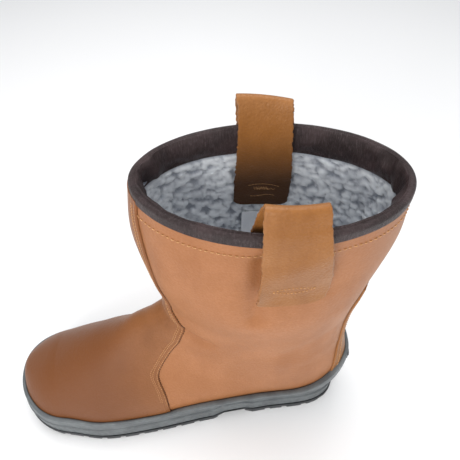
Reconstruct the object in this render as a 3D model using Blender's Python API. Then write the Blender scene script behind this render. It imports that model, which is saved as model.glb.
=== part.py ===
"""A left rigger boot, standing empty on its sole.

Every piece of the upper is worked out from one form, the last, which is a row of sections. A section
is a closed curve in a plane that holds the Y axis's direction: its front point lies on the front line
of the shaft or the top line of the foot, its back point on the back line of the heel or under the foot.
Lengths are in millimetres until a mesh is made. X runs from the back of the heel to the toe, Y to the
lateral side, which is the wearer's left, and Z up from the ground.
"""

import math

import bmesh
import bpy
import numpy as np

MM = 0.001
GAP = 0.3  # clearance between pieces that meet
HEEL_CENTRE = 42.0  # the origin lies this far in front of the back of the heel
WALL = 2.6  # leather with its lining
OVERLAY = 1.5  # leather of the vamp and the backstay
ROW_STEP = 42.0  # height of the shaft between the first two sections

# The last. A row is one section, from the collar to the toe cap.
# front_x, front_z, back_x, back_z, lateral, medial, shift, back_fullness, front_fullness
LAST = (
    (158, 287, -8, 281, 50, 48, 0, 0.52, 0.54),  # collar
    (163, 247, -12, 237, 49, 48, 0, 0.58, 0.56),  # upper shaft
    (158, 201, -1, 190, 51, 46, 0, 0.52, 0.54),  # lower shaft
    (153, 173, 5, 148, 45, 42, 0, 0.47, 0.52),  # ankle
    (155, 158, 4, 107, 40, 40, 0, 0.42, 0.50),  # crease
    (159, 143, -2, 62, 38, 38, 0, 0.36, 0.50),  # long heel
    (171, 134, 12, 24, 36, 36, 0, 0.28, 0.50),  # heel seat
    (185, 125, 62, 21.5, 36, 36, 0, 0.20, 0.50),  # shank
    (198, 115, 120, 19.5, 39, 39, 1, 0.15, 0.50),  # instep
    (214, 103.5, 172, 17, 46, 44, 1, 0.13, 0.48),  # waist
    (240, 87.5, 222, 14.5, 51, 46, 0, 0.12, 0.50),  # ball
    (266, 70.5, 258, 14.5, 49, 39, -3, 0.12, 0.43),  # toe cap
)
TOE_ROW = len(LAST) - 1
TOE_X, TOE_Z = 304.0, 40.0
TOE_SWING = -1.5  # the toe turns this far to the medial side
TOE_FALL = 0.6  # how steeply the top of the toe starts to fall

# Edge of the vamp in side view, from the crease down to the sole: z, x.
VAMP_EDGE = (
    (180, 152.5),
    (168, 148.5),
    (159, 144),
    (149, 140.8),
    (137, 141.5),
    (124, 145.5),
    (110, 154),
    (98, 161),
    (88, 166.5),
    (80, 168.5),
    (72, 167),
    (58, 164),
    (0, 162),
)
PANEL_HALF = 16.0  # the vamp runs up the front of the shaft as a panel of twice this width
BACKSTAY_X, BACKSTAY_TOP = 17.5, 188.0

# Side view of the sole: x, ground, joint of outsole and midsole, rim of the midsole's cup.
SOLE_SIDE = (
    (-30, 0, 8, 80),
    (6, 0, 8, 80),
    (13, 0, 8, 77),
    (20, 0, 8, 67),
    (27, 0, 8, 58.5),
    (36, 0, 8, 53),
    (52, 0, 8, 47),
    (84, 0, 8, 40),
    (93, 9, 14, 38.5),
    (113, 9, 14, 36),
    (123, 0, 7, 35),
    (175, 0, 7, 33),
    (230, 0, 7, 34),
    (250, 0.6, 7.6, 37),
    (270, 2.4, 9.4, 43),
    (288, 5.2, 12.2, 50),
    (330, 12, 19, 56),
)
SIDE_LEVEL = 28.0  # below this height the side of the sole drops straight down
MIDSOLE_WALL = 5.0
FOXING_WALL, FOXING_TOP = 6.0, 12.5  # a thicker band round the foot of the midsole, and its height
OUTSOLE_WALL = 7.0
CHANNEL_DEPTH, CHANNEL_WIDTH = 4.0, 5.0
HEEL_CHANNELS = (14.0, 32.0, 52.0, 69.0)
TREAD_CHANNELS = (140.0, 158.0, 176.0, 194.0, 212.0, 230.0, 248.0, 266.0)
CLIP_HALF, CLIP_LOW, CLIP_HIGH, CLIP_WALL = 15.0, 27.0, 66.0, 2.2

COLLAR_DROP = 5.0  # the outer band ends this far below the rim line
COLLAR_DEPTH = 22.5  # the inner band ends this far below it
COLLAR_FACE = 1.3  # the outer band stands this far off the form
COLLAR_ROLL = 4.4
COLLAR_CENTRE = COLLAR_FACE - COLLAR_ROLL

STRAP = 2.2
STRAP_FOLD_HALF, STRAP_END_HALF = 16.5, 20.5
STRAP_ROUNDING = 11.0
# Route of a pull loop from its outer end to its inner end: distance off the form, depth below the rim.
STRAP_ROUTE = (
    (1.5, 66),
    (1.5, 52),
    (2.0, 44),
    (3.8, 32),
    (5.2, 18),
    (5.4, 4),
    (4.9, -8),
    (3.6, -15.5),
    (1.0, -20),
    (-2.3, -21.2),
    (-5.7, -20),
    (-8.4, -15.5),
    (-9.5, -8),
    (-9.6, 4),
    (-9.5, 20),
    (-8.8, 28),
    (-6.4, 44),
    (-5.2, 58),
    (-5.0, 73),
)
# Where a loop is sewn and where its fold lies, along X.
LOOPS = {
    "pull_loop_lateral": (66.0, 70.0, 1),
    "pull_loop_medial": (70.0, 76.0, -1),
}

INSOLE_SHARE, INSOLE_THICK = 0.93, 4.2
WINDOW_SHARE = 0.72  # the lasted margin closes the rest of the bottom

AROUND = 32  # points round a section, the same on every face so that the gaps stay even
OUTER_STEP, INNER_STEP = 0.4, 0.5  # section positions between two rings of points
OUTER_TOE, INNER_TOE = 7, 5  # rings over the toe
SOLE_TOP = 4.0  # section position at which the block that the sole is cut from is closed
SOLE_STEP, SOLE_TOE, SOLE_AROUND = 0.4, 8, 38  # the same three counts for that block
ABOVE_RIM = -0.3  # section position above the collar, where what hollows the upper is closed
CUTTER_HALF = 90.0  # cutters in side view reach this far to each side
TOE_RISE = 0.012  # how the bottom of the last curves up under the toe
BELOW_GROUND = -10.0


def through(rows, t):
    """Catmull-Rom curve through rows, one unit of t each, and straight on before the first."""
    rows = np.asarray(rows, float)
    slope = np.gradient(rows, axis=0)
    i = np.clip(np.floor(t).astype(int), 0, len(rows) - 2)
    f = np.clip(t - i, 0, 1)[..., None]
    start = rows[i] * (2 * f**3 - 3 * f**2 + 1) + slope[i] * (f**3 - 2 * f**2 + f)
    end = rows[i + 1] * (3 * f**2 - 2 * f**3) + slope[i + 1] * (f**3 - f**2)
    return start + end + slope[0] * np.minimum(t, 0)[..., None]


def last_point(t, u):
    """A point of the last: t counts its sections, u runs once round one, from its front point."""
    t, u = np.broadcast_arrays(t, u)
    c = through(LAST, np.minimum(t, TOE_ROW))
    turn = np.clip(t - TOE_ROW, 0, 0.9999) * math.pi / 2
    run, left = np.sin(turn), np.cos(turn)
    front_x = c[..., 0] + (TOE_X - c[..., 0]) * run
    back_x = c[..., 2] + (TOE_X - c[..., 2]) * run
    front_z = TOE_Z + (c[..., 1] - TOE_Z) * (left**0.75 - TOE_FALL * run * left)
    back_z = TOE_Z + (c[..., 3] - TOE_Z) * left**0.45
    on_foot = t > TOE_ROW
    front_z = np.where(on_foot, front_z, c[..., 1])
    back_z = np.where(on_foot, back_z, c[..., 3])
    q = (1 + np.cos(2 * math.pi * u)) / 2
    peak = c[..., 7] / (c[..., 7] + c[..., 8])
    full = (q / peak) ** c[..., 7] * ((1 - q) / (1 - peak)) ** c[..., 8]
    side = np.where(np.mod(u, 1) < 0.5, 1.0, -1.0)
    width = np.where(side > 0, c[..., 4], c[..., 5]) * left**0.85
    x = back_x + q * (front_x - back_x)
    y = c[..., 6] + TOE_SWING * run + side * width * full
    z = back_z + q * (front_z - back_z)
    return np.stack([x, y, z], -1)


def form(t, u, off=0.0):
    """The last, grown outwards by off along its normals."""
    t, u, off = np.broadcast_arrays(t, u, off)
    t = np.minimum(t, TOE_ROW + 0.985)
    step = 0.004
    down = last_point(t + step, u) - last_point(t - step, u)
    round_it = last_point(t, u + step) - last_point(t, u - step)
    normal = np.cross(down, round_it)
    normal /= np.linalg.norm(normal, axis=-1, keepdims=True)
    return last_point(t, u) + normal * off[..., None]


def depth_row(depth):
    """The section position that lies this far below the rim line of the shaft."""
    return np.asarray(depth, float) / ROW_STEP


def place(name, points, faces, colour, roughness=0.6, metallic=0.0):
    """An object named and coloured, with its mesh in metres and its faces turned outwards."""
    mesh = bpy.data.meshes.new(name)
    shifted = (np.asarray(points, float) - (HEEL_CENTRE, 0, 0)) * MM
    mesh.from_pydata([tuple(p) for p in shifted], [], faces)
    bm = bmesh.new()
    bm.from_mesh(mesh)
    bmesh.ops.remove_doubles(bm, verts=bm.verts, dist=1e-7)
    bmesh.ops.recalc_face_normals(bm, faces=bm.faces)
    bm.to_mesh(mesh)
    bm.free()
    material = bpy.data.materials.new(name)
    material.use_nodes = True
    shader = material.node_tree.nodes["Principled BSDF"]
    shader.inputs["Base Color"].default_value = (*colour, 1.0)
    shader.inputs["Roughness"].default_value = roughness
    shader.inputs["Metallic"].default_value = metallic
    mesh.materials.append(material)
    mesh.shade_smooth()
    mesh.set_sharp_from_angle(angle=math.radians(35))
    obj = bpy.data.objects.new(name, mesh)
    bpy.context.collection.objects.link(obj)
    return obj


def guide(name, points, faces):
    """A cutter: it shapes other pieces and isn't one itself."""
    obj = place(name, points, faces, (0.8, 0.2, 0.2))
    obj.hide_render = True
    obj.display_type = "WIRE"
    return obj


def combine(piece, operation, *others):
    """Boolean modifiers that join, cut or trim a piece with others, in turn."""
    for other in others:
        modifier = piece.modifiers.new(other.name, "BOOLEAN")
        modifier.operation = operation
        modifier.object = other
    return piece


def grid_faces(rows, columns, wrap, first=0):
    """Quads of a grid of points numbered row by row from first, closed across its columns if wrap."""
    faces = []
    for i in range(rows - 1):
        for j in range(columns if wrap else columns - 1):
            k = (j + 1) % columns
            a, b = first + i * columns, first + (i + 1) * columns
            faces.append((a + j, a + k, b + k, b + j))
    return faces


def form_solid(off, top, step=OUTER_STEP, toe=OUTER_TOE, around=AROUND):
    """Points and faces of the whole last grown by off, closed flat above section position top."""
    body = np.arange(0, TOE_ROW, step)
    body = body[body > top + 0.2 * step]
    t = np.concatenate([[top], body, TOE_ROW + np.linspace(0, 1, toe + 1)[:-1]])
    u = np.arange(around) / around
    points = form(t[:, None], u[None, :], off)
    rows = len(t)
    tip = (TOE_X + off, LAST[-1][6] + TOE_SWING, TOE_Z)
    faces = grid_faces(rows, around, True)
    centre, pole = rows * around, rows * around + 1
    end = (rows - 1) * around
    for j in range(around):
        k = (j + 1) % around
        faces.append((centre, k, j))
        faces.append((pole, end + j, end + k))
    return np.vstack([points.reshape(-1, 3), points[0].mean(axis=0), tip]), faces


def slab(lower, upper):
    """Points and faces between two grids of the same shape, with a rim round their edges."""
    rows, columns = lower.shape[:2]
    count = rows * columns
    faces = grid_faces(rows, columns, False) + grid_faces(rows, columns, False, count)
    rim = [j for j in range(columns)]
    rim += [i * columns + columns - 1 for i in range(1, rows)]
    rim += [(rows - 1) * columns + j for j in range(columns - 2, -1, -1)]
    rim += [i * columns for i in range(rows - 2, 0, -1)]
    for a, b in zip(rim, rim[1:] + rim[:1]):
        faces.append((a, b, b + count, a + count))
    return np.vstack([lower.reshape(-1, 3), upper.reshape(-1, 3)]), faces


def ring_solid(loops):
    """Points and faces of closed profiles carried round a ring: loops[i, j] is point j of profile i."""
    around, corners = loops.shape[:2]
    faces = grid_faces(around, corners, True)
    last = (around - 1) * corners
    for j in range(corners):
        k = (j + 1) % corners
        faces.append((last + j, last + k, k, j))
    return loops.reshape(-1, 3), faces


def band_prism(low, high, across):
    """A solid between two lines of (x, z) points in side view, reaching across in Y both ways."""
    low, high = np.asarray(low, float), np.asarray(high, float)
    both = np.stack([low, high], 1)
    near = np.insert(both, 1, across[0], axis=-1)
    far = np.insert(both, 1, across[1], axis=-1)
    return slab(near, far)


def build_upper():
    """Quarters and lining as one hollow solid, open at the collar and under the foot."""
    top = depth_row(COLLAR_DROP + 3 * GAP)
    upper = place("upper", *form_solid(0.0, top), (0.50, 0.27, 0.15), 0.55)
    inside = guide(
        "inside_of_upper",
        *form_solid(-WALL, ABOVE_RIM, INNER_STEP, INNER_TOE),
    )
    return combine(upper, "DIFFERENCE", inside, foot_window())


def bottom_outline(share, corner=34.0, start=7.0, end=296.0, count=26):
    """Edges of a shape under the foot: x, lateral y, medial y and the height of the last's bottom."""
    turn = np.linspace(0, math.pi, count)
    x = start + (end - start) * (1 - np.cos(turn)) / 2
    t = np.linspace(6, TOE_ROW, 60)
    rows = through(LAST, t)
    lateral, medial, shift, height = (np.interp(x, rows[:, 2], rows[:, k]) for k in (4, 5, 6, 3))
    nearest = np.clip(np.minimum(x - start, end - x) / corner, 0, 1)
    rounding = np.sqrt(np.clip(1 - (1 - nearest) ** 2, 0.0004, 1))
    height += np.clip(x - LAST[-1][2], 0, None) ** 2 * TOE_RISE
    return x, shift + share * lateral * rounding, shift - share * medial * rounding, height


def foot_window():
    """The opening that the lasted edge of the upper leaves under the foot."""
    x, lateral, medial, height = bottom_outline(WINDOW_SHARE, start=17.0, end=276.0)
    ends = np.stack([np.stack([x, medial], -1), np.stack([x, lateral], -1)], 1)
    lower = np.insert(ends, 2, -20.0, axis=-1)
    upper = np.insert(ends, 2, 26.0, axis=-1)
    upper[..., 2] = (height + WALL + 4.0)[:, None]
    return guide("window_under_foot", *slab(lower, upper))


def build_insole():
    """Footbed that lies inside on the lasted edge, trimmed to the inside of the upper."""
    x, lateral, medial, height = bottom_outline(INSOLE_SHARE, start=3.0, end=292.0)
    across = np.linspace(0, 1, 5)
    y = medial[:, None] + (lateral - medial)[:, None] * across
    flat = np.stack(np.broadcast_arrays(x[:, None], y, height[:, None]), -1)
    lower, upper = flat.copy(), flat.copy()
    lower[..., 2] -= 3.0
    upper[..., 2] += WALL + GAP + INSOLE_THICK
    insole = place("insole", *slab(lower, upper), (0.10, 0.10, 0.11), 0.9)
    inside = guide(
        "room_for_insole",
        *form_solid(-WALL - GAP, 2.0, INNER_STEP, INNER_TOE),
    )
    return combine(insole, "INTERSECT", inside)


def vamp_outline(name, grow):
    """Side outline of the vamp joined to the panel that runs up the front of the shaft."""
    edge = np.array(VAMP_EDGE, float)[::-1]
    z, x = edge[:, 0], edge[:, 1] - grow
    z[0] = -40.0
    back = np.stack([x, z], -1)
    front = np.stack([np.full(len(z), 340.0), z], -1)
    side = guide(name, *band_prism(back, front, (-CUTTER_HALF, CUTTER_HALF)))
    half = PANEL_HALF + grow
    z = np.array((150.0, 330.0))
    back = np.stack([np.full(2, 100.0), z], -1)
    front = np.stack([np.full(2, 200.0), z], -1)
    panel = guide(name + "_panel", *band_prism(back, front, (-half, half)))
    return combine(side, "UNION", panel)


def build_vamp():
    """Vamp with its long front panel: leather laid over the quarters and lasted under the foot."""
    top = depth_row(COLLAR_DROP + 3 * GAP)
    vamp = place("vamp", *form_solid(GAP + OVERLAY, top), (0.42, 0.21, 0.10), 0.5)
    combine(vamp, "INTERSECT", vamp_outline("vamp_outline", 0.0))
    under = guide("under_vamp", *form_solid(GAP, ABOVE_RIM))
    return combine(vamp, "DIFFERENCE", under, bpy.data.objects["window_under_foot"])


def backstay_outline(name, grow):
    """Side outline of the backstay, a strip round the back of the heel with a rounded top."""
    z = np.array((44.0 - grow, 160.0, 172.0, 181.0, BACKSTAY_TOP - 1, BACKSTAY_TOP + grow))
    x = np.array((0.0, 0.0, -0.6, -3.0, -8.0, -9.0)) + BACKSTAY_X + grow
    front = np.stack([x, z], -1)
    back = np.stack([np.full(len(z), -60.0), z], -1)
    return guide(name, *band_prism(back, front, (-CUTTER_HALF, CUTTER_HALF)))


def build_backstay():
    """Leather strip over the closing seam at the back of the heel."""
    top = depth_row(60.0)
    backstay = place("backstay", *form_solid(GAP + OVERLAY, top), (0.48, 0.25, 0.12), 0.5)
    combine(backstay, "INTERSECT", backstay_outline("backstay_outline", 0.0))
    return combine(backstay, "DIFFERENCE", guide("under_backstay", *form_solid(GAP, 0.5)))


def build_collar():
    """Padded collar: a roll over the edge of the shaft, with a deep band inside it."""
    arc = np.linspace(0, math.pi, 7)
    face, back = COLLAR_FACE, COLLAR_CENTRE - COLLAR_ROLL
    seat = -WALL - GAP
    off = np.concatenate([[face, face], COLLAR_CENTRE + COLLAR_ROLL * np.cos(arc[1:-1]), [back] * 3])
    depth = np.concatenate([[COLLAR_DROP, 0.5], -COLLAR_ROLL * np.sin(arc[1:-1]), [0.5, 11.0, 21.0]])
    off = np.concatenate([off, [back + 1.2, seat, seat]])
    depth = np.concatenate([depth, [COLLAR_DEPTH, COLLAR_DEPTH, COLLAR_DROP]])
    u = np.arange(AROUND) / AROUND
    loops = form(depth_row(depth)[None, :], u[:, None], off[None, :])
    return place("collar", *ring_solid(loops), (0.045, 0.035, 0.035), 0.5)


def strap_surface(sewn_x, fold_x, side, lift, along=30, across=5):
    """One face of a pull loop: its route carried over the width, lift off its middle layer."""
    route = np.array(STRAP_ROUTE)
    v = np.linspace(-1, 1, across)[None, :]
    ends = STRAP_ROUNDING * np.abs(v) ** 2.6
    run = np.concatenate([[0], np.cumsum(np.linalg.norm(np.diff(route, axis=0), axis=1))])
    s = ends + (run[-1] - 2 * ends) * np.linspace(0, 1, along)[:, None]
    t = np.interp(s, run, np.arange(len(run)))
    middle = through(route, t)
    ahead = through(route, np.minimum(t + 0.02, len(run) - 1)) - through(route, np.maximum(t - 0.02, 0))
    ahead /= np.linalg.norm(ahead, axis=-1, keepdims=True)
    off = middle[..., 0] - lift * ahead[..., 1]
    depth = middle[..., 1] + lift * ahead[..., 0]
    fold = np.clip(1 - (depth - STRAP_ROUTE[9][1]) / 62.0, 0, 1)
    half = STRAP_END_HALF + (STRAP_FOLD_HALF - STRAP_END_HALF) * fold
    x = sewn_x + (fold_x - sewn_x) * fold + half * v
    rim = LAST[0]
    q = (x - rim[2]) / (rim[0] - rim[2])
    u = np.arccos(2 * q - 1) / (2 * math.pi)
    return form(depth_row(depth), u if side > 0 else 1 - u, off)


def build_loop(name, sewn_x, fold_x, side):
    """Pull loop: one strip of leather folded over the collar and sewn to the shaft outside and in."""
    faces = [strap_surface(sewn_x, fold_x, side, lift) for lift in (-STRAP / 2, STRAP / 2)]
    return place(name, *slab(*faces), (0.47, 0.25, 0.12), 0.5)


def side_lines(column, shift=0.0, count=70):
    """One line of the sole's side view as (x, z) points, read from the table and smoothed."""
    rows = np.array(SOLE_SIDE, float)
    if column < 3:
        return np.stack([rows[:, 0], rows[:, column] + shift], -1)
    smooth = through(rows[:, (0, 3)], np.linspace(0, len(rows) - 1, count))
    return smooth + (0.0, shift)


def side_prism(name, low, high):
    """The part of the side view between two of its lines, right across the foot."""
    x = np.unique(np.concatenate([low[:, 0], high[:, 0]]))
    bottom = np.stack([x, np.interp(x, low[:, 0], low[:, 1])], -1)
    top = np.stack([x, np.interp(x, high[:, 0], high[:, 1])], -1)
    return guide(name, *band_prism(bottom, top, (-CUTTER_HALF, CUTTER_HALF)))


def sole_block(name, off, make, *finish):
    """The form grown by off down to the side level, and from there straight down past the ground."""
    points, faces = form_solid(off, SOLE_TOP, SOLE_STEP, SOLE_TOE, SOLE_AROUND)
    block = make(name, points, faces, *finish)
    bm = bmesh.new()
    bm.from_mesh(block.data)
    level = (0, 0, SIDE_LEVEL * MM)
    everything = bm.verts[:] + bm.edges[:] + bm.faces[:]
    bmesh.ops.bisect_plane(bm, geom=everything, plane_co=level, plane_no=(0, 0, 1), clear_inner=True)
    rim = [edge for edge in bm.edges if edge.is_boundary]
    dropped = bmesh.ops.extrude_edge_only(bm, edges=rim)["geom"]
    for vert in dropped:
        if isinstance(vert, bmesh.types.BMVert):
            vert.co.z = BELOW_GROUND * MM
    bmesh.ops.holes_fill(bm, edges=[edge for edge in bm.edges if edge.is_boundary])
    bmesh.ops.remove_doubles(bm, verts=bm.verts, dist=1e-6)
    bmesh.ops.recalc_face_normals(bm, faces=bm.faces)
    bm.to_mesh(block.data)
    bm.free()
    return block


def room_for_upper():
    """What the midsole's cup is hollowed by: the upper, the vamp and the backstay, each with a gap."""
    leather = GAP + OVERLAY + GAP
    quarters = guide("room_for_quarters", *form_solid(GAP, 3.5))
    vamp = guide("room_for_vamp", *form_solid(leather, 3.5))
    combine(vamp, "INTERSECT", vamp_outline("vamp_outline_grown", GAP))
    backstay = guide("room_for_backstay", *form_solid(leather, 3.5))
    combine(backstay, "INTERSECT", backstay_outline("backstay_outline_grown", GAP))
    return quarters, vamp, backstay


def build_midsole():
    """Cup of polyurethane moulded on to the upper, high at the heel and at the toe."""
    midsole = sole_block("midsole", MIDSOLE_WALL, place, (0.09, 0.11, 0.11), 0.6)
    foxing = sole_block("foxing", FOXING_WALL, guide)
    low, high = side_lines(2, -GAP), side_lines(2, FOXING_TOP)
    combine(foxing, "INTERSECT", side_prism("foxing_side", low, high))
    combine(midsole, "UNION", foxing)
    side = side_prism("midsole_side", side_lines(2, GAP), side_lines(3))
    combine(midsole, "INTERSECT", side)
    return combine(midsole, "DIFFERENCE", *room_for_upper())


def build_outsole():
    """Tread of rubber: heel and forefoot with lugs between channels, and a raised arch."""
    outsole = sole_block("outsole", OUTSOLE_WALL, place, (0.035, 0.037, 0.04), 0.75)
    combine(outsole, "INTERSECT", side_prism("outsole_side", side_lines(1), side_lines(2)))
    for k, x in enumerate(HEEL_CHANNELS + TREAD_CHANNELS):
        ground = np.interp(x, *np.array(SOLE_SIDE).T[:2])
        ends = np.array((x - CHANNEL_WIDTH / 2, x + CHANNEL_WIDTH / 2))
        low = np.stack([ends, np.full(2, -6.0)], -1)
        high = np.stack([ends, np.full(2, ground + CHANNEL_DEPTH)], -1)
        channel = guide(f"channel_{k}", *band_prism(low, high, (-CUTTER_HALF, CUTTER_HALF)))
        combine(outsole, "DIFFERENCE", channel)
    return outsole


def build_clip():
    """Kick-off clip: a band of harder rubber up the back of the heel."""
    clip = sole_block("heel_clip", MIDSOLE_WALL + GAP + CLIP_WALL, place, (0.03, 0.032, 0.035), 0.6)
    ends = np.array((-40.0, 12.0))
    low = np.stack([ends, np.full(2, CLIP_LOW)], -1)
    high = np.stack([ends, np.full(2, CLIP_HIGH)], -1)
    window = guide("clip_window", *band_prism(low, high, (-CLIP_HALF, CLIP_HALF)))
    combine(clip, "INTERSECT", window)
    return combine(clip, "DIFFERENCE", sole_block("under_clip", MIDSOLE_WALL + GAP, guide))


def build():
    """Clears the scene and makes every piece."""
    for obj in list(bpy.data.objects):
        bpy.data.objects.remove(obj, do_unlink=True)
    build_upper()
    build_vamp()
    build_backstay()
    build_collar()
    for name, (sewn_x, fold_x, side) in LOOPS.items():
        build_loop(name, sewn_x, fold_x, side)
    build_insole()
    build_midsole()
    build_outsole()
    build_clip()


build()
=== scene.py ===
import math

import bmesh
import bpy
import numpy as np
from mathutils import Matrix, Vector


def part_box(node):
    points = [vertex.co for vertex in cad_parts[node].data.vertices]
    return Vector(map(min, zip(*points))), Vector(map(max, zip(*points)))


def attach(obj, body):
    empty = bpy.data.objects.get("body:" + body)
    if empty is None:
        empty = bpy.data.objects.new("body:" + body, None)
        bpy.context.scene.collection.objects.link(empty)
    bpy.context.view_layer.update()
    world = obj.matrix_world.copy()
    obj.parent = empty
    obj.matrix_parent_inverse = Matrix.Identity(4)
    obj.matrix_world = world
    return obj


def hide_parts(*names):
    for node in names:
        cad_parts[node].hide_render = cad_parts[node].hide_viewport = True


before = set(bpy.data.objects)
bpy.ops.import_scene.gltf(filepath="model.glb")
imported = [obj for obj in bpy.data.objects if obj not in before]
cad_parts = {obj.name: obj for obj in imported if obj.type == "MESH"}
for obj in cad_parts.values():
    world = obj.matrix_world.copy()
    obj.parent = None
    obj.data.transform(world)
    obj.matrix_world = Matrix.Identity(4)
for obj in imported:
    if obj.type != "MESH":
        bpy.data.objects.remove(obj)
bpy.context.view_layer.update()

# Camera. It stands beside the lateral side of the boot, well above the collar, and looks down into the
# shaft from 49 degrees above the ground, turned a degree and a half about its own axis.
STAND = Vector((0.0648, 0.1945, 0.4637))
AIM = Vector((0.059, 0.0, 0.2367))
ROLL = math.radians(-1.45)
LENS_MM = 35.2

forward = (AIM - STAND).normalized()
level_right = forward.cross(Vector((0, 0, 1))).normalized()
level_up = level_right.cross(forward)
right = level_right * math.cos(ROLL) + level_up * math.sin(ROLL)
up = level_up * math.cos(ROLL) - level_right * math.sin(ROLL)
lens = bpy.data.cameras.new("camera")
lens.lens = LENS_MM
lens.sensor_width = 36.0
lens.clip_start = 0.01
camera = bpy.data.objects.new("camera", lens)
camera.matrix_world = Matrix((right, up, -forward)).transposed().to_4x4()
camera.location = STAND
bpy.context.collection.objects.link(camera)
bpy.context.scene.camera = camera


# Quarters. The two sides of the shaft and heel, cut from tan grained leather and closed at the back.
# They are pulled over the last, which is the form that all the leather of the upper follows, and their
# lower edge is lasted under the foot. Lengths are in millimetres, with x from the back of the heel.
MM = 0.001
HEEL_CENTRE = 42.0  # the origin lies this far in front of the back of the heel
ROW_STEP = 42.0  # height of the shaft between the first two sections
# front_x, front_z, back_x, back_z, lateral, medial, shift, back_fullness, front_fullness
LAST = (
    (158, 287, -8, 281, 50, 48, 0, 0.52, 0.54),  # collar
    (163, 247, -12, 237, 49, 48, 0, 0.58, 0.56),  # upper shaft
    (158, 201, -1, 190, 51, 46, 0, 0.52, 0.54),  # lower shaft
    (153, 173, 5, 148, 45, 42, 0, 0.47, 0.52),  # ankle
    (155, 158, 4, 107, 40, 40, 0, 0.42, 0.50),  # crease
    (159, 143, -2, 62, 38, 38, 0, 0.36, 0.50),  # long heel
    (171, 134, 12, 24, 36, 36, 0, 0.28, 0.50),  # heel seat
    (185, 125, 62, 21.5, 36, 36, 0, 0.20, 0.50),  # shank
    (198, 115, 120, 19.5, 39, 39, 1, 0.15, 0.50),  # instep
    (214, 103.5, 172, 17, 46, 44, 1, 0.13, 0.48),  # waist
    (240, 87.5, 222, 14.5, 51, 46, 0, 0.12, 0.50),  # ball
    (266, 70.5, 258, 14.5, 49, 39, -3, 0.12, 0.43),  # toe cap
)
TOE_ROW = len(LAST) - 1
TOE_X, TOE_Z, TOE_SWING, TOE_FALL = 304.0, 40.0, -1.5, 0.6
LEATHER = 1.4  # thickness of the quarters without their lining
CUT_EDGE = 3.0 / ROW_STEP  # row of the leather's cut edge below the rim
LASTED_EDGE = 9.35  # row of the quarters' lower edge, hidden in the cup
ROUND_TOE = 0.985  # how far round the toe the leather is drawn


def through(rows, t):
    """Smooth curve through rows, one unit of t each, and straight on before the first."""
    rows = np.asarray(rows, float)
    slope = np.gradient(rows, axis=0)
    i = np.clip(np.floor(t).astype(int), 0, len(rows) - 2)
    f = np.clip(t - i, 0, 1)[..., None]
    start = rows[i] * (2 * f**3 - 3 * f**2 + 1) + slope[i] * (f**3 - 2 * f**2 + f)
    end = rows[i + 1] * (3 * f**2 - 2 * f**3) + slope[i + 1] * (f**3 - f**2)
    return start + end + slope[0] * np.minimum(t, 0)[..., None]


def unit(vectors):
    """The same directions with a length of 1."""
    return vectors / np.linalg.norm(vectors, axis=-1, keepdims=True)


def last_point(t, u):
    """A point of the last: section t, and u from 0 to 1 round it from its front point.

    A section is a flat closed curve between its front and its back point. Its half width at a share q
    of the way is full when q is at the peak and falls as a power of the distance to either end.
    """
    t, u = np.broadcast_arrays(t, u)
    c = through(LAST, np.minimum(t, TOE_ROW))
    turn = np.clip(t - TOE_ROW, 0, 0.9999) * math.pi / 2
    run, left = np.sin(turn), np.cos(turn)
    front_x = c[..., 0] + (TOE_X - c[..., 0]) * run
    back_x = c[..., 2] + (TOE_X - c[..., 2]) * run
    front_z = TOE_Z + (c[..., 1] - TOE_Z) * (left**0.75 - TOE_FALL * run * left)
    back_z = TOE_Z + (c[..., 3] - TOE_Z) * left**0.45
    front_z = np.where(t > TOE_ROW, front_z, c[..., 1])
    back_z = np.where(t > TOE_ROW, back_z, c[..., 3])
    q = (1 + np.cos(2 * math.pi * u)) / 2
    peak = c[..., 7] / (c[..., 7] + c[..., 8])
    full = (q / peak) ** c[..., 7] * ((1 - q) / (1 - peak)) ** c[..., 8]
    side = np.where(np.mod(u, 1) < 0.5, 1.0, -1.0)
    width = np.where(side > 0, c[..., 4], c[..., 5]) * left**0.85
    y = c[..., 6] + TOE_SWING * run + side * width * full
    return np.stack([back_x + q * (front_x - back_x), y, back_z + q * (front_z - back_z)], -1)


def outward(t, u):
    """Unit normals of the last, from differences along and round it."""
    step = 0.004
    down = last_point(t + step, u) - last_point(t - step, u)
    return unit(np.cross(down, last_point(t, u + step) - last_point(t, u - step)))


# The main folds of the leather, as straight soft troughs and ridges in side view.
# side (1 lateral, -1 medial, 0 both), x and z of each end, half width, height
FOLDS = (
    (1, 84.0, 262, 87.0, 204, 7.5, -4.4),  # beside the near pull loop
    (1, 45, 256, 42, 226, 6.0, -1.1),
    (1, 36, 262, 30, 200, 9.0, -0.8),
    (1, 124, 250, 112, 190, 15.0, 0.9),
    (-1, 100, 262, 96, 205, 9.0, -1.0),
    (-1, 34, 262, 30, 200, 10.0, -0.8),
    (0, 162, 151, 122, 133, 6.0, -3.0),  # where the ankle bends
    (0, 166, 142, 130, 116, 8.0, 0.7),
    (0, 28, 150, 62, 128, 9.0, -0.9),  # above the heel
    (0, 20, 118, 58, 104, 9.0, 0.6),
    (1, 182, 128, 172, 92, 9.0, -0.25),  # across the instep
    (1, 196, 110, 190, 80, 9.0, 0.2),
    (1, 226, 80, 218, 50, 9.0, -0.25),  # where the ball of the foot bends
    (-1, 226, 80, 218, 50, 9.0, -0.25),
)


def folds(points):
    """How far the folds raise the leather: a bell over the distance to each fold's line."""
    height = np.zeros(points.shape[:-1])
    flat = points[..., [0, 2]]
    for side, x0, z0, x1, z1, half, rise in FOLDS:
        start, run = np.array((x0, z0)), np.array((x1 - x0, z1 - z0))
        along = (flat - start) @ run / (run @ run)
        away = np.linalg.norm(flat - start - np.clip(along, 0, 1)[..., None] * run, axis=-1)
        fade = 1 / (1 + np.exp(-side * points[..., 1] / 5.0)) if side else 1.0
        height += rise * fade * np.exp(-((away / half) ** 2))
    return height


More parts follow.
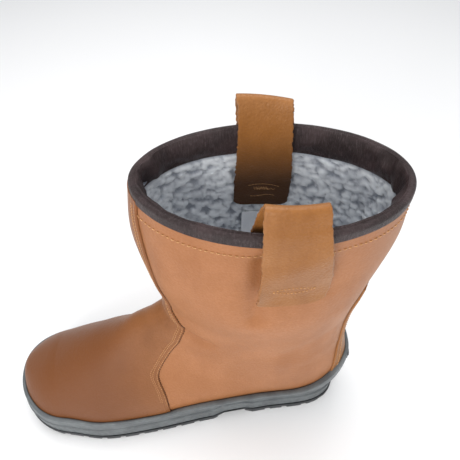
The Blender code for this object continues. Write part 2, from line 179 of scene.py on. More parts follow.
def on_last(t, u, off=0.0):
    """Points that lie off outside the last, on leather that follows its folds."""
    t, u, off = np.broadcast_arrays(t, u, off)
    t = np.minimum(t, TOE_ROW + ROUND_TOE)
    points = last_point(t, u)
    return points + outward(t, u) * (off + folds(points))[..., None]


def quads(rows, columns, wrap_rows=False, wrap_columns=False):
    """Faces of a grid of points numbered row by row, joined to itself where it wraps."""
    i = np.arange(rows if wrap_rows else rows - 1)[:, None]
    j = np.arange(columns if wrap_columns else columns - 1)[None, :]
    below, beside = (i + 1) % rows * columns, (j + 1) % columns
    corners = (i * columns + j, i * columns + beside, below + beside, below + j)
    return np.stack(corners, -1).reshape(-1, 4)


def wall(outer, inner, wrap=False):
    """Points and faces of a closed wall between two grids of the same shape."""
    rows, columns = outer.shape[:2]
    count = rows * columns
    index = np.arange(count).reshape(rows, columns)
    face = quads(rows, columns, wrap_columns=wrap)
    faces = [face, face[:, ::-1] + count]
    if wrap:
        borders = [np.append(index[0], 0), np.append(index[-1], index[-1, 0])[::-1]]
    else:
        borders = [index[0], index[:, -1], index[-1][::-1], index[::-1, 0]]
    for border in borders:
        a, b = border[:-1], border[1:]
        faces.append(np.stack([b, a, a + count, b + count], -1))
    return np.vstack([outer.reshape(-1, 3), inner.reshape(-1, 3)]), np.vstack(faces)


def piece(name, points, faces, finish, slot, *nodes):
    mesh = bpy.data.meshes.new(name)
    placed = (np.asarray(points) - (HEEL_CENTRE, 0, 0)) * MM
    mesh.from_pydata(placed, [], faces if isinstance(faces, list) else faces.tolist())
    bm = bmesh.new()
    bm.from_mesh(mesh)
    bmesh.ops.recalc_face_normals(bm, faces=bm.faces)
    bm.to_mesh(mesh)
    bm.free()
    mesh.materials.append(finish)
    mesh.shade_smooth()
    mesh.set_sharp_from_angle(angle=math.radians(50))
    made = bpy.data.objects.new(name, mesh)
    bpy.context.collection.objects.link(made)
    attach(made, "root")
    if nodes:
        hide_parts(*nodes)
    return made


class Wire:
    """A socket in a material's node tree. Arithmetic on it adds Math nodes."""

    def __init__(self, tree, socket=None):
        self.tree, self.socket = tree, socket

    def node(self, kind, settings=None, output=0, **sockets):
        """A node of a kind, its settings made first, then its sockets by name, or by number as _0."""
        made = self.tree.nodes.new("ShaderNode" + kind)
        for key, value in (settings or {}).items():
            setattr(made, key, value)
        for key, value in sockets.items():
            socket = made.inputs[int(key[1:]) if key[1:].isdigit() else key.replace("_", " ")]
            if isinstance(value, Wire):
                self.tree.links.new(value.socket, socket)
            else:
                socket.default_value = value
        return Wire(self.tree, made.outputs[output])

    def maths(self, operation, first, second):
        """A Math node of two values."""
        return self.node("Math", {"operation": operation}, _0=first, _1=second)

    def __add__(self, other):
        return self.maths("ADD", self, other)

    def __sub__(self, other):
        return self.maths("SUBTRACT", self, other)

    def __rsub__(self, other):
        return self.maths("SUBTRACT", other, self)

    def __mul__(self, other):
        return self.maths("MULTIPLY", self, other)

    __radd__, __rmul__ = __add__, __mul__

    def between(self, low, high):
        """0 below low, 1 above high, and a smooth rise between them."""
        settings = {"interpolation_type": "SMOOTHSTEP"}
        return self.node("MapRange", settings, Value=self, From_Min=low, From_Max=high)

    def mix(self, first, second):
        """The first colour where this is 0, the second where it is 1."""
        first, second = ((*c, 1.0) if isinstance(c, tuple) else c for c in (first, second))
        return self.node("Mix", {"data_type": "RGBA"}, 2, _0=self, _6=first, _7=second)


def new_finish(name):
    """A material, a Wire to build its nodes with, its object coordinates and its shader's inputs."""
    made = bpy.data.materials.new(name)
    made.use_nodes = True
    tree = made.node_tree
    shader = tree.nodes["Principled BSDF"]
    wire = Wire(tree)
    return made, wire, wire.node("TexCoord", output="Object"), shader.inputs


def plug(inputs, **values):
    """Sets or links a shader's inputs by name."""
    for key, value in values.items():
        socket = inputs[key.replace("_", " ")]
        if isinstance(value, Wire):
            value.tree.links.new(value.socket, socket)
        else:
            socket.default_value = value


def leather(name, pale, main, deep, toe=None, inner_shade=None, grain=0.45, rough=0.5):
    """Grained leather: cloudy colour, pores and a pebbled bump, darker at the toe, and darker still
    where a per-vertex value paints shade.
    """
    made, wire, place, inputs = new_finish(name)
    clouds = wire.node("TexNoise", Vector=place, Scale=24.0, Detail=4.0, Roughness=0.6)
    streaks = wire.node("Mapping", Vector=place, Scale=(40.0, 40.0, 9.0))
    streaks = wire.node("TexNoise", Vector=streaks, Scale=1.0, Detail=3.0, Roughness=0.65)
    speckle = wire.node("TexNoise", Vector=place, Scale=620.0, Detail=3.0, Roughness=0.7)
    pebbles = wire.node("TexVoronoi", {"feature": "SMOOTH_F1"}, "Distance", Vector=place, Scale=780.0)
    wrinkles = wire.node(
        "TexNoise", Vector=place, Scale=210.0, Detail=5.0, Roughness=0.6, Distortion=0.8
    )
    colour = clouds.between(0.38, 0.66).mix(main, pale)
    colour = (streaks.between(0.45, 0.72) * 0.45).mix(colour, deep)
    if toe:
        forward_x = wire.node("SeparateXYZ", Vector=place)
        reach = (forward_x + (clouds - 0.5) * 0.05).between(0.108, 0.185)
        colour = (reach * 0.95).mix(colour, toe)
    colour = (speckle.between(0.35, 0.7) * 0.3).mix(colour, deep)
    height = pebbles * 0.55 + wrinkles * 0.7 + speckle * 0.25
    bump = wire.node("Bump", Strength=grain, Distance=0.0007, Height=height)
    gloss = rough + (speckle - 0.5) * 0.25 + (clouds - 0.5) * 0.12
    # painted shade: a per-vertex value from 0 to 1 darkens the colour towards the given one
    if inner_shade:
        colour = wire.node("Attribute", {"attribute_name": "inner_shade"}, "Fac").mix(colour, inner_shade)
    plug(inputs, Base_Color=colour, Roughness=gloss, Normal=bump)
    plug(inputs, Specular_IOR_Level=0.35, Sheen_Weight=0.08, Sheen_Roughness=0.4)
    plug(inputs, Sheen_Tint=(1.0, 0.80, 0.66, 1.0))
    return made


tan_leather = leather(
    "tan_leather", pale=(0.39, 0.160, 0.062), main=(0.345, 0.134, 0.045), deep=(0.27, 0.095, 0.027)
)
t = np.linspace(CUT_EDGE, LASTED_EDGE, 204)[:, None]
u = (np.arange(240) / 240)[None, :]
faces = on_last(t, u), on_last(t, u, -LEATHER)
piece("quarters", *wall(*faces, wrap=True), tan_leather, "tan_leather", "upper")


# Vamp. One piece of browner leather over the forefoot that runs up the front of the shaft as a panel.
# It is laid over the quarters, stitched down along its edge by three close rows, and lasted below.
OVERLAY_LOW, OVERLAY_HIGH = 0.3, 1.8  # its two faces, off the last
VAMP_EDGE_Z = (0, 58, 72, 80, 88, 98, 110, 124, 137, 149, 159, 168, 180, 300)
VAMP_EDGE_X = (162, 164, 167, 168.5, 166.5, 161, 154, 145.5, 141.5, 140.8, 144, 148.5, 152.5, 156)
PANEL_HALF, PANEL_FOOT = 16.0, 150.0  # half width of the front panel, and the height it starts at
SEAM_ROWS = np.linspace(CUT_EDGE, TOE_ROW + ROUND_TOE, 336)
EDGE_RADIUS = 1.1
EDGE_STEPS = 600  # places looked at over half a section


def edge_round(t, covered, start, way):
    """How far from u = start a section is covered: up to the first place where covered() is below 0."""
    u = start + way * np.linspace(0.0, 0.5, EDGE_STEPS)
    left = covered(last_point(t[:, None], u[None, :]))
    first = np.argmax(left < 0, axis=1)
    whole = np.all(left >= 0, axis=1)
    before = np.maximum(first - 1, 0)
    row = np.arange(len(t))
    share = left[row, before] / np.maximum(left[row, before] - left[row, first], 1e-9)
    return np.where(whole, 0.5, (before + share) * 0.5 / (EDGE_STEPS - 1))


def under_vamp(points):
    """Above 0 where the vamp lies: in front of its side edge, or within its front panel."""
    x, y, z = points[..., 0], points[..., 1], points[..., 2]
    side = x - np.interp(z, VAMP_EDGE_Z, VAMP_EDGE_X)
    panel = np.where(z > PANEL_FOOT, PANEL_HALF - np.abs(y), -50.0)
    return np.maximum(side, panel)


def softened(values, half):
    """A running mean over a few neighbours, with the ends held."""
    padded = np.pad(values, half, mode="edge")
    return np.convolve(padded, np.ones(2 * half + 1) / (2 * half + 1), mode="valid")


def length_along(points):
    """Millimetres from the first point of each line to each of its points."""
    gaps = np.linalg.norm(np.diff(points, axis=-2), axis=-1)
    return np.concatenate([np.zeros_like(gaps[..., :1]), np.cumsum(gaps, axis=-1)], axis=-1)


def edge_roll(distance):
    """Height of an overlay near its cut edge: up over a rounded edge, then down to its stitch line."""
    rise = np.sqrt(np.clip(1 - (1 - np.clip(distance / EDGE_RADIUS, 0, 1)) ** 2, 0, 1))
    dip = 0.45 * np.exp(-(((distance - 3.0) / 0.9) ** 2))
    dip = dip + 0.3 * np.exp(-(((distance - 6.0) / 1.2) ** 2))
    return rise * (1 - dip / (OVERLAY_HIGH - OVERLAY_LOW))


def overlay(rows, middle, half, columns):
    """Points and faces of leather laid on the quarters: u goes half to each side of the middle."""
    across = np.sin(np.linspace(-1, 1, columns) * math.pi / 2)[None, :]
    t = np.broadcast_to(rows[:, None], (len(rows), columns))
    u = middle + half[:, None] * across
    from_left = length_along(last_point(t, u))
    to_edge = np.minimum(from_left, from_left[:, -1:] - from_left)
    high = OVERLAY_LOW + (OVERLAY_HIGH - OVERLAY_LOW) * edge_roll(to_edge)
    return wall(on_last(t, u, high), on_last(t, u, np.minimum(OVERLAY_LOW, high - 0.02)))


vamp_leather = leather(
    "vamp_leather", pale=(0.29, 0.112, 0.036), main=(0.235, 0.085, 0.022), deep=(0.17, 0.056, 0.012),
    toe=(0.15, 0.046, 0.009),
)
seam_u = softened(edge_round(SEAM_ROWS, under_vamp, 0.0, 1.0), 3)
vamp = overlay(SEAM_ROWS, 0.0, seam_u, 146)
piece("vamp_leather_piece", *vamp, vamp_leather, "vamp_leather", "vamp")


# Backstay. A strip of tan leather over the closing seam at the back of the heel, with a rounded top.
# It runs down into the cup of the sole and is stitched along both edges.
BACKSTAY_HALF, BACKSTAY_TOP, BACKSTAY_ROUND, BACKSTAY_NARROWING = 13.0, 188.0, 16.0, 7.0


def under_backstay(points):
    """Above 0 behind the strip's front edge, which turns in to a round top."""
    x, z = points[..., 0], points[..., 2]
    over = np.clip((z - (BACKSTAY_TOP - BACKSTAY_ROUND)) / BACKSTAY_ROUND, 0, 1.2)
    return BACKSTAY_HALF - BACKSTAY_NARROWING * over**2 - x


STRAP_SHADES = {
    "pale": (0.33, 0.137, 0.038), "main": (0.29, 0.112, 0.024), "deep": (0.20, 0.07, 0.012),
}
strap_leather = leather("strap_leather", **STRAP_SHADES)
strip_rows = np.linspace(2.06, 5.7, 150)
strip_u = softened(edge_round(strip_rows, under_backstay, 0.5, -1.0), 2)
backstay = overlay(strip_rows, 0.5, strip_u, 60)
piece("backstay_strip", *backstay, strap_leather, "strap_leather", "backstay")


# Stitching. Waxed golden thread: three fine rows along the edge of the vamp with a row of dark needle
# holes beside them, one row below the collar and one down each edge of the backstay. The needle holes
# are sunk marks whose dark colour is painted shade of the holes and of the groove at the vamp's edge.
# Each stitch is a short rounded length sunk at both ends.
THREAD = 0.36  # radius
STITCH, PITCH = 2.4, 3.4
FINE_STITCH = (1.5, 2.3, 0.25)  # length, pitch and radius along the vamp
NEEDLE_HOLE, HOLE_DEPTH = (1.5, 2.7, 0.34), 1.35
VAMP_ROWS = (1.3, 4.2, 5.8)  # distances of the three rows from the cut edge
HOLES_BEYOND = 0.25  # how far outside the cut edge the needle holes lie
LOWEST_STITCH = 8.55  # the last row of the last above the sole
COLLAR_SEAM, PANEL_SHARE = 15.5, 0.055  # depth of the row below the collar, and the panel it stops at
STRIP_SEAM, STRIP_START = 2.6 / 150, 10  # inset of the backstay's rows in u, and their first row


def stitch_row(points, normals, length=STITCH, pitch=PITCH, radius=THREAD):
    """Points and faces of stitches laid every pitch along a line, each a tapered tube of five rings."""
    run = length_along(points)
    middle = np.arange(pitch / 2, run[-1] - length / 2, pitch)
    share = np.array((-1.0, -0.72, 0.0, 0.72, 1.0))
    width = np.array((0.3, 0.85, 1.0, 0.85, 0.3)) * radius
    lift = np.array((-0.6, 0.45, 0.7, 0.45, -0.6)) * radius
    at = middle[:, None] + share * length / 2
    centre = np.stack([np.interp(at, run, points[:, k]) for k in range(3)], -1)
    normal = unit(np.stack([np.interp(at, run, normals[:, k]) for k in range(3)], -1))
    beside = np.cross(normal, unit(centre[:, -1] - centre[:, 0])[:, None, :])
    turn = np.arange(6) / 6 * 2 * math.pi
    ring = centre + normal * lift[:, None]
    points = ring[:, :, None, :] + width[:, None, None] * (
        beside[:, :, None, :] * np.cos(turn)[:, None] + normal[:, :, None, :] * np.sin(turn)[:, None]
    )
    one = [list(face) for face in quads(5, 6, wrap_columns=True)]
    one += [[5, 4, 3, 2, 1, 0], [24, 25, 26, 27, 28, 29]]
    faces = [[k * 30 + corner for corner in face] for k in range(len(middle)) for face in one]
    return points.reshape(-1, 3), faces


def joined(name, finish, slot, parts):
    """One piece out of several parts, each with its points and faces."""
    points, faces, count = [], [], 0
    for more_points, more_faces in parts:
        points.append(more_points)
        faces += [[corner + count for corner in face] for face in more_faces]
        count += len(more_points)
    return piece(name, np.vstack(points), faces, finish, slot)


def thread_finish(name, colour, shade):
    """Twisted thread: a fine diagonal rib and a slight gloss."""
    made, wire, place, inputs = new_finish(name)
    ribbed = {"bands_direction": "DIAGONAL"}
    twist = wire.node("TexWave", ribbed, Vector=place, Scale=700.0, Distortion=1.5)
    plug(inputs, Base_Color=twist.mix(shade, colour), Roughness=0.55)
    plug(inputs, Normal=wire.node("Bump", Strength=0.3, Distance=0.0002, Height=twist))
    return made


def line_beside_seam(distance, low, high, side):
    """Points and normals of a line that keeps its distance inside the vamp's edge."""
    picked = (SEAM_ROWS > low) & (SEAM_ROWS < high)
    t, u = SEAM_ROWS[picked], seam_u[picked]
    edge = last_point(t, u)
    nearby = last_point(t, u - 0.01)
    tangent = unit(np.gradient(edge, axis=0))
    inward = nearby - edge
    square = inward - (inward * tangent).sum(-1, keepdims=True) * tangent
    per_u = np.linalg.norm(square, axis=-1) / 0.01
    u = side * (u - softened(distance / np.maximum(per_u, 40.0), 4))
    return on_last(t, u, OVERLAY_HIGH - 0.25), outward(t, u)


golden_thread = thread_finish("golden_thread", (0.68, 0.38, 0.17), (0.46, 0.22, 0.08))
seam_lines = [
    stitch_row(*line_beside_seam(distance, 0.2, LOWEST_STITCH, side), *FINE_STITCH)
    for side in (1, -1)
    for distance in VAMP_ROWS
]
joined("vamp_stitches", golden_thread, "tan_leather", seam_lines)

needle_holes, wire, place, inputs = new_finish("needle_holes")
# The holes are dark brown, mottled a little: painted shade of the holes and of the groove at the vamp's
# edge.
hole_shade_mottle = wire.node("TexNoise", Vector=place, Scale=400.0, Detail=2.0)
plug(inputs, Base_Color=hole_shade_mottle.mix((0.045, 0.018, 0.006), (0.10, 0.042, 0.014)), Roughness=0.9)
hole_lines = []
for side in (1, -1):
    points, normals = line_beside_seam(-HOLES_BEYOND, 3.0, LOWEST_STITCH, side)
    hole_lines.append(stitch_row(points - normals * HOLE_DEPTH, normals, *NEEDLE_HOLE))
joined("vamp_edge_holes", needle_holes, "tan_leather", hole_lines)

u = np.linspace(0, 1, 700)
t = np.full(700, COLLAR_SEAM / ROW_STEP)
clear = np.abs(np.mod(u + 0.5, 1) - 0.5) > PANEL_SHARE
shaft_lines = [stitch_row(on_last(t, u, 0.1)[clear], outward(t, u)[clear])]
t = strip_rows[STRIP_START:]
for side in (1, -1):
    u = 0.5 + side * np.maximum(strip_u[STRIP_START:] - STRIP_SEAM, 0.004)
    shaft_lines.append(stitch_row(on_last(t, u, OVERLAY_HIGH - 0.1), outward(t, u)))
joined("shaft_stitches", golden_thread, "tan_leather", shaft_lines)


# Collar. A roll of soft dark brown leather over the top edge, folded down inside as a deep padded band.
# Foam fills it, and the band is gathered where it is sewn to the pile lining below.
COLLAR_DROP, COLLAR_DEPTH = 5.0, 18.4  # how far it reaches down outside and inside
COLLAR_FACE, COLLAR_ROLL = 1.3, 2.6  # its outer face off the last, and the radius of the roll
COLLAR_COLUMNS = 520
# the band inside: distance off the last, depth below the rim
BAND = (
    (-2.6, -1.9), (-3.6, -2.2), (-5.2, 0.2), (-6.0, 2.8), (-6.6, 5.6), (-6.8, 8.4), (-6.6, 11.2),
    (-6.0, 14.0), (-5.2, 16.6),
)
BAND_FACE, BAND_FOOT = -3.5, 17.6  # further in than the one and above the other, it is gathered
RIM_RADIUS = 62.0  # a circle about as long as the rim, on which the gathers are laid out
RIM_LENGTH, BAND_STEP = 410.0, 1.4  # millimetres of its UV map, all the way round and from row to row


def cell_value(cells, seed):
    """A repeatable value from 0 to 1 for each cell, from its three whole numbers."""
    mixed = cells[..., 0] * 73856093 ^ cells[..., 1] * 19349663
    mixed = mixed ^ cells[..., 2] * 83492791 ^ seed * 2654435
    mixed = (mixed ^ (mixed >> 13)) * 1274126177 & 0x7FFFFFFF
    mixed = (mixed ^ (mixed >> 11)) * 668265263 & 0x7FFFFFFF
    return (mixed >> 8 & 0xFFFF) / 65535.0


def clouds_of(points, size, seed):
    """Smooth random waves from -1 to 1: corner values of a lattice of that size, eased between them."""
    scaled = points / size
    cell = np.floor(scaled).astype(np.int64)
    f = scaled - cell
    f = f * f * (3 - 2 * f)
    total = np.zeros(points.shape[:-1])
    for corner in np.ndindex(2, 2, 2):
        weight = np.prod(np.where(np.array(corner) == 1, f, 1 - f), axis=-1)
        total += weight * cell_value(cell + corner, seed)
    return 2 * total - 1


turn = np.arange(COLLAR_COLUMNS) / COLLAR_COLUMNS
arc = np.linspace(0, 1, 14)[1:-1] * math.pi * 0.55
middle = COLLAR_FACE - COLLAR_ROLL
band = through(BAND, np.linspace(0, len(BAND) - 1, 30))
off = np.concatenate([
    (-0.4, 0.6, 1.2), np.full(6, COLLAR_FACE), middle + COLLAR_ROLL * np.cos(arc), band[:, 0],
    (-4.6, -4.0, -3.0, -2.4, -2.4),
])
depth = np.concatenate([
    (COLLAR_DROP + 0.2, COLLAR_DROP + 0.3, COLLAR_DROP), np.linspace(4.4, 0.4, 6),
    -COLLAR_ROLL * np.sin(arc), band[:, 1], (17.9, COLLAR_DEPTH, COLLAR_DEPTH + 0.2, 16.0, 8.0),
])
t = (depth / ROW_STEP)[None, :]
u = turn[:, None]
rim_spot = np.stack([np.cos(2 * math.pi * u), np.sin(2 * math.pi * u), 0 * u], -1) * RIM_RADIUS
near_end = np.abs(np.cos(2 * math.pi * u))  # 1 at the front and the back of the opening
# gathers where the band is sewn down, slack folds across it, and deep wrinkles at both ends
deep_in = np.clip((depth - 1.0) / 14.0, 0, 1)
pucker = clouds_of(rim_spot + (0, 0, 3.0), 6.0, 3) * 1.9 + clouds_of(rim_spot, 2.8, 4) * 0.6
pucker = pucker * (0.25 + 0.75 * deep_in**1.3)[None, :]
slack = clouds_of(rim_spot + np.array((0, 0, 1.0)) * depth[None, :, None] * 1.4, 11.0, 5) * 1.5
sag = np.clip(depth / 8.0, 0, 1) * np.clip((COLLAR_DEPTH - 0.2 - depth) / 3.0, 0, 1)
wrinkles = clouds_of(rim_spot + (9.0, 0, 0), 9.0, 6) * (0.5 + 2.4 * near_end**5) * sag[None, :]
on_band = ((off < BAND_FACE) & (depth < BAND_FOOT))[None, :]
gathered = (pucker + slack * 0.8) * (0.6 + 1.3 * near_end**6) + wrinkles
lift = np.where(on_band, gathered, slack * 0.12 + wrinkles * 0.15)
ring = on_last(t, u, off[None, :] - lift)

collar_leather, wire, place, inputs = new_finish("collar_leather")
shades = wire.node("TexNoise", Vector=place, Scale=45.0, Detail=4.0, Roughness=0.6)
uv = wire.node("UVMap", {"uv_map": "round_and_down"})
ribs = wire.node("Mapping", Vector=uv, Scale=(1.0, 0.10, 1.0))
flat_noise = {"noise_dimensions": "2D"}
ribs = wire.node("TexNoise", flat_noise, Vector=ribs, Scale=1.1, Detail=5.0, Roughness=0.75)
creped = wire.node("TexNoise", Vector=place, Scale=520.0, Detail=3.0, Roughness=0.65)
colour = shades.between(0.35, 0.7).mix((0.020, 0.0115, 0.0110), (0.052, 0.032, 0.032))
colour = (ribs.between(0.45, 0.75) * 0.55).mix(colour, (0.105, 0.075, 0.080))
bump = wire.node("Bump", Strength=0.8, Distance=0.0010, Height=ribs * 0.8 + creped * 0.35)
plug(inputs, Base_Color=colour, Roughness=0.43 - (ribs - 0.5) * 0.3, Normal=bump)
plug(inputs, Specular_IOR_Level=0.3)
faces = quads(COLLAR_COLUMNS, len(off), wrap_rows=True, wrap_columns=True)
collar = piece("padded_collar", ring.reshape(-1, 3), faces, collar_leather, "collar_leather", "collar")


def add_uv(made, name, values):
    """A UV map with one pair of values for each vertex."""
    mesh = made.data
    corner = np.empty(len(mesh.loops), np.int32)
    mesh.loops.foreach_get("vertex_index", corner)
    layer = mesh.uv_layers.new(name=name)
    layer.data.foreach_set("uv", values.reshape(-1, 2)[corner].astype(np.float32).ravel())


spots = np.broadcast_arrays(turn[:, None] * RIM_LENGTH, np.arange(len(off))[None, :] * BAND_STEP)
add_uv(collar, "round_and_down", np.stack(spots, -1))


# Pile lining. Curly grey synthetic fleece over the whole inside, sewn to the padded band at the top.
# Its loops clump in soft lumps of about five millimetres, and its colour is painted dark in the gaps
# between them and pale on their tops: painted shade and painted highlight.
PILE_LOW, PILE_HIGH = -2.0, -3.4  # its backing and the foot of its lumps, off the last
PILE_TOP, PILE_FULL = 16.5, 17.2  # depths where it comes out from under the collar and starts to rise
SHAFT_PILE, FOOT_PILE = 3.0, 2.0  # how high its lumps stand


def lumps(points, size, seed):
    """Round domes, 1 at scattered centres and 0 at the edge, from the square of the distance."""
    scaled = points / size
    base = np.floor(scaled).astype(np.int64)
    nearest = np.full(points.shape[:-1], 9.0)
    for neighbour in np.ndindex(3, 3, 3):
        cell = base + np.array(neighbour) - 1
        centre = cell + np.stack([cell_value(cell, seed + k) for k in range(3)], -1)
        nearest = np.minimum(nearest, np.linalg.norm(scaled - centre, axis=-1))
    return np.clip(1 - (nearest / 0.82) ** 2, 0, 1) ** 0.8


def pile_height(points):
    """Height of the fleece: large lumps on a curl of smaller ones, bent by slow and quick waves."""
    slow = np.stack([clouds_of(points, 6.0, 20 + k) for k in range(3)], -1)
    quick = np.stack([clouds_of(points, 2.4, 24 + k) for k in range(3)], -1)
    bent = points + slow * 2.2 + quick * 0.8
    big = lumps(bent, 4.8, 7)
    small = lumps(bent + 40.0, 2.8, 9)
    broad = (1 + clouds_of(points, 18.0, 31)) / 2
    return 0.66 * big + 0.24 * small * (0.35 + 0.65 * big) + 0.10 * broad


def add_values(made, name, values):
    """A named value for each vertex, which the material reads."""
    attribute = made.data.attributes.new(name, "FLOAT", "POINT")
    attribute.data.foreach_set("value", values.astype(np.float32).ravel())


fleece, wire, place, inputs = new_finish("grey_fleece")
pile = wire.node("Attribute", {"attribute_name": "pile"}, "Fac")
fibres = wire.node("TexNoise", Vector=place, Scale=1500.0, Detail=3.0, Roughness=0.75, Distortion=1.2)
patches = wire.node("TexNoise", Vector=place, Scale=55.0, Detail=3.0, Roughness=0.6)
# painted shade and painted highlight: dark grey where the pile is low, near white on the tops of the
# lumps
colour = pile.between(0.08, 0.82).mix((0.24, 0.265, 0.32), (0.93, 0.97, 1.0))
colour = (patches.between(0.42, 0.68) * 0.35).mix(colour, (0.32, 0.35, 0.41))
colour = (fibres.between(0.4, 0.7) * 0.3).mix(colour, (0.9, 0.93, 1.0))
bump = wire.node("Bump", Strength=0.8, Distance=0.0006, Height=fibres)
plug(inputs, Base_Color=colour, Roughness=0.95, Normal=bump)
plug(inputs, Sheen_Weight=0.25, Sheen_Roughness=0.6)


def pile_lining(name, rows, columns, pile_high):
    """A lining of fleece over some rows of the last, whose pile rises as it leaves the collar."""
    t, u = rows[:, None], (np.arange(columns) / columns)[None, :]
    height = pile_height(on_last(t, u, PILE_HIGH)) * np.clip((t * ROW_STEP - PILE_FULL) / 3.0, 0, 1)
    faces = on_last(t, u, PILE_LOW), on_last(t, u, PILE_HIGH - pile_high * height)
    made = piece(name, *wall(*faces, wrap=True), fleece, "lining", "upper")
    add_values(made, "pile", np.concatenate([height * 0, height]))


pile_lining("shaft_lining", np.linspace(PILE_TOP / ROW_STEP, 4.3, 140), 330, SHAFT_PILE)
pile_lining("foot_lining", np.linspace(4.27, TOE_ROW + 0.9, 130), 220, FOOT_PILE)


# Footbed. A cut sole of felt faced with the same fleece, laid loose on the lasted edge.
# It fills the foot from wall to wall.
low, high = (np.array(corner) / MM + (HEEL_CENTRE, 0, 0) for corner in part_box("insole"))
BED_THICK, BED_PILE, BED_OVER_LAST = 6.0, 2.0, 2.9
BED_ENDS = 34.0  # length of its round ends


def foot_plan(x, share):
    """Lateral and medial edge of the last's bottom and its height at x, drawn in to round ends."""
    t = np.linspace(6, TOE_ROW, 60)
    sections = through(LAST, t)
    columns = [np.interp(x, sections[:, 2], sections[:, k]) for k in (4, 5, 6, 3)]
    lateral, medial, shift, height = columns
    nearest = np.clip(np.minimum(x - low[0], high[0] - x) / BED_ENDS, 0, 1)
    rounding = np.sqrt(np.clip(1 - (1 - nearest) ** 2, 0.0004, 1))
    height = height + np.clip(x - LAST[-1][2], 0, None) ** 2 * 0.012
    return shift + share * lateral * rounding, shift - share * medial * rounding, height


x = low[0] + (high[0] - low[0]) * (1 - np.cos(np.linspace(0, math.pi, 150))) / 2
lateral, medial, height = foot_plan(x, 0.9)
y = medial[:, None] + (lateral - medial)[:, None] * np.linspace(0, 1, 70)
bed = np.stack(np.broadcast_arrays(x[:, None], y, height[:, None] + BED_OVER_LAST), -1)
top = bed.copy()
nap = pile_height(bed)
top[..., 2] += BED_THICK - BED_PILE + BED_PILE * nap
footbed = piece("footbed", *wall(top, bed), fleece, "lining", "insole")
add_values(footbed, "pile", np.concatenate([nap, nap * 0]))


# Pull loops. Each is one strip of tan leather folded over the collar, with raw cut edges. Inside, its
# colour is
# painted darker towards the inner end: painted shade. Its outer end is sewn to the shaft with an eye of
# stitches, its inner end to the lining.
STRAP, END_ROUND = 2.2, 3.5  # thickness, and how far its corners are cut back
STRAP_ROWS, STRAP_COLUMNS = 240, 44
# distance off the last, depth below the rim
STRAP_ROUTE = (
    (1.3, 58.5), (1.4, 51), (2.4, 42), (4.6, 30), (5.6, 18), (5.5, 4), (4.4, -7), (2.4, -13.5),
    (0.9, -18.5), (-0.9, -22.2), (-3.6, -22.4), (-5.8, -19.0), (-7.6, -13.5), (-9.2, -6), (-10.0, 4),
    (-10.0, 20), (-8.8, 32), (-7.0, 44), (-6.6, 54), (-6.4, 63),
)
FOLD_TOP = 9  # the row of the route at the top of the fold
# x where a loop is sewn outside, at its fold and where it is sewn inside, half width, slant, side
LOOPS = {
    "near_pull_loop": (66.5, 69.5, 80.0, 17.2, 0.6, 1),
    "far_pull_loop": (70.0, 76.5, 75.0, 18.6, 2.6, -1),
}
LOOP_NODES = {"near_pull_loop": "pull_loop_lateral", "far_pull_loop": "pull_loop_medial"}


def strap_point(loop, s, v, lift):
    """A point of a loop's strip: s from 0 to 1 along it, v from -1 to 1 across, lift off its middle."""
    sewn_x, fold_x, inner_x, half, slant, side = LOOPS[loop]
    route = np.array(STRAP_ROUTE)
    run = length_along(route)
    s, v = np.broadcast_arrays(s, v)
    ends = END_ROUND * np.abs(v) ** 6
    along = ends + (run[-1] - 2 * ends) * s
    t = np.interp(along, run, np.arange(len(run)))
    middle = through(route, t)
    later, sooner = np.minimum(t + 0.02, len(run) - 1), np.maximum(t - 0.02, 0)
    ahead = unit(through(route, later) - through(route, sooner))
    outside, near = along < run[FOLD_TOP], side > 0
    outer_leg = np.clip(along / run[FOLD_TOP], 0, 1)
    bulge = 1.5 * np.exp(-(((outer_leg - 0.52 + 0.13 * v) / 0.13) ** 2)) * outside
    flare = 5.0 * np.clip(v, 0, 1) ** 3 * np.exp(-(((outer_leg - 0.16) / 0.16) ** 2)) * near
    wave = 0.7 * np.sin(along * 0.09 + 1.3 * v) * np.sin(math.pi * np.clip(s, 0, 1))
    off = middle[..., 0] - lift * ahead[..., 1] + bulge + flare + wave
    depth = middle[..., 1] + lift * ahead[..., 0]
    fold = np.clip(1 - (depth - STRAP_ROUTE[FOLD_TOP][1]) / 70.0, 0, 1)
    depth = depth - slant * v * np.clip(2 * fold - 1, 0, 1)
    cut = np.abs(v) ** 24 * (clouds_of(np.stack([along, 9 * v, 0 * v], -1), 1.6, 50 + side) * 0.55)
    x = np.where(outside, sewn_x, inner_x)
    inner_leg = np.clip((along - run[FOLD_TOP]) / (run[-1] - run[FOLD_TOP]), 0, 1)
    splay = np.where(v < 0, 5.0, 2.0) * (1 - fold) ** 2 * outside * near
    x = x + (fold_x - x) * fold**1.2 + (half * (1 + 0.11 * inner_leg) + cut + splay) * v
    q = (x - LAST[0][2]) / (LAST[0][0] - LAST[0][2])
    u = np.arccos(2 * q - 1) / (2 * math.pi)
    u = u if near else 1 - u
    normals = outward(depth / ROW_STEP, u)
    return last_point(depth / ROW_STEP, u) + normals * off[..., None], normals


# The inside of each loop is painted nearly black towards its inner end: painted shade.
strap_with_inner_shade = leather(
    "strap_leather_inner_shade", **STRAP_SHADES, inner_shade=(0.055, 0.019, 0.003), grain=0.6, rough=0.42
)
s = np.linspace(0, 1, STRAP_ROWS)[:, None]
v = np.sin(np.linspace(-1, 1, STRAP_COLUMNS) * math.pi / 2)[None, :]
edge = np.sqrt(np.clip(1 - np.clip((np.abs(v) - 0.955) / 0.045, 0, 1) ** 2, 0.1, 1)) * STRAP / 2
for loop, node in LOOP_NODES.items():
    faces_of_strap = [strap_point(loop, s, v, side * edge)[0] for side in (1, -1)]
    strap = piece(loop, *wall(*faces_of_strap), strap_with_inner_shade, "strap_leather", node)
    # painted shade: 0 up to just inside the fold, rising to 0.96 at the inner end
    inner_shade = np.clip((s - 0.57) / 0.32, 0, 1) ** 1.5 * 0.96 + 0 * v
    add_values(strap, "inner_shade", np.concatenate([inner_shade, inner_shade]))


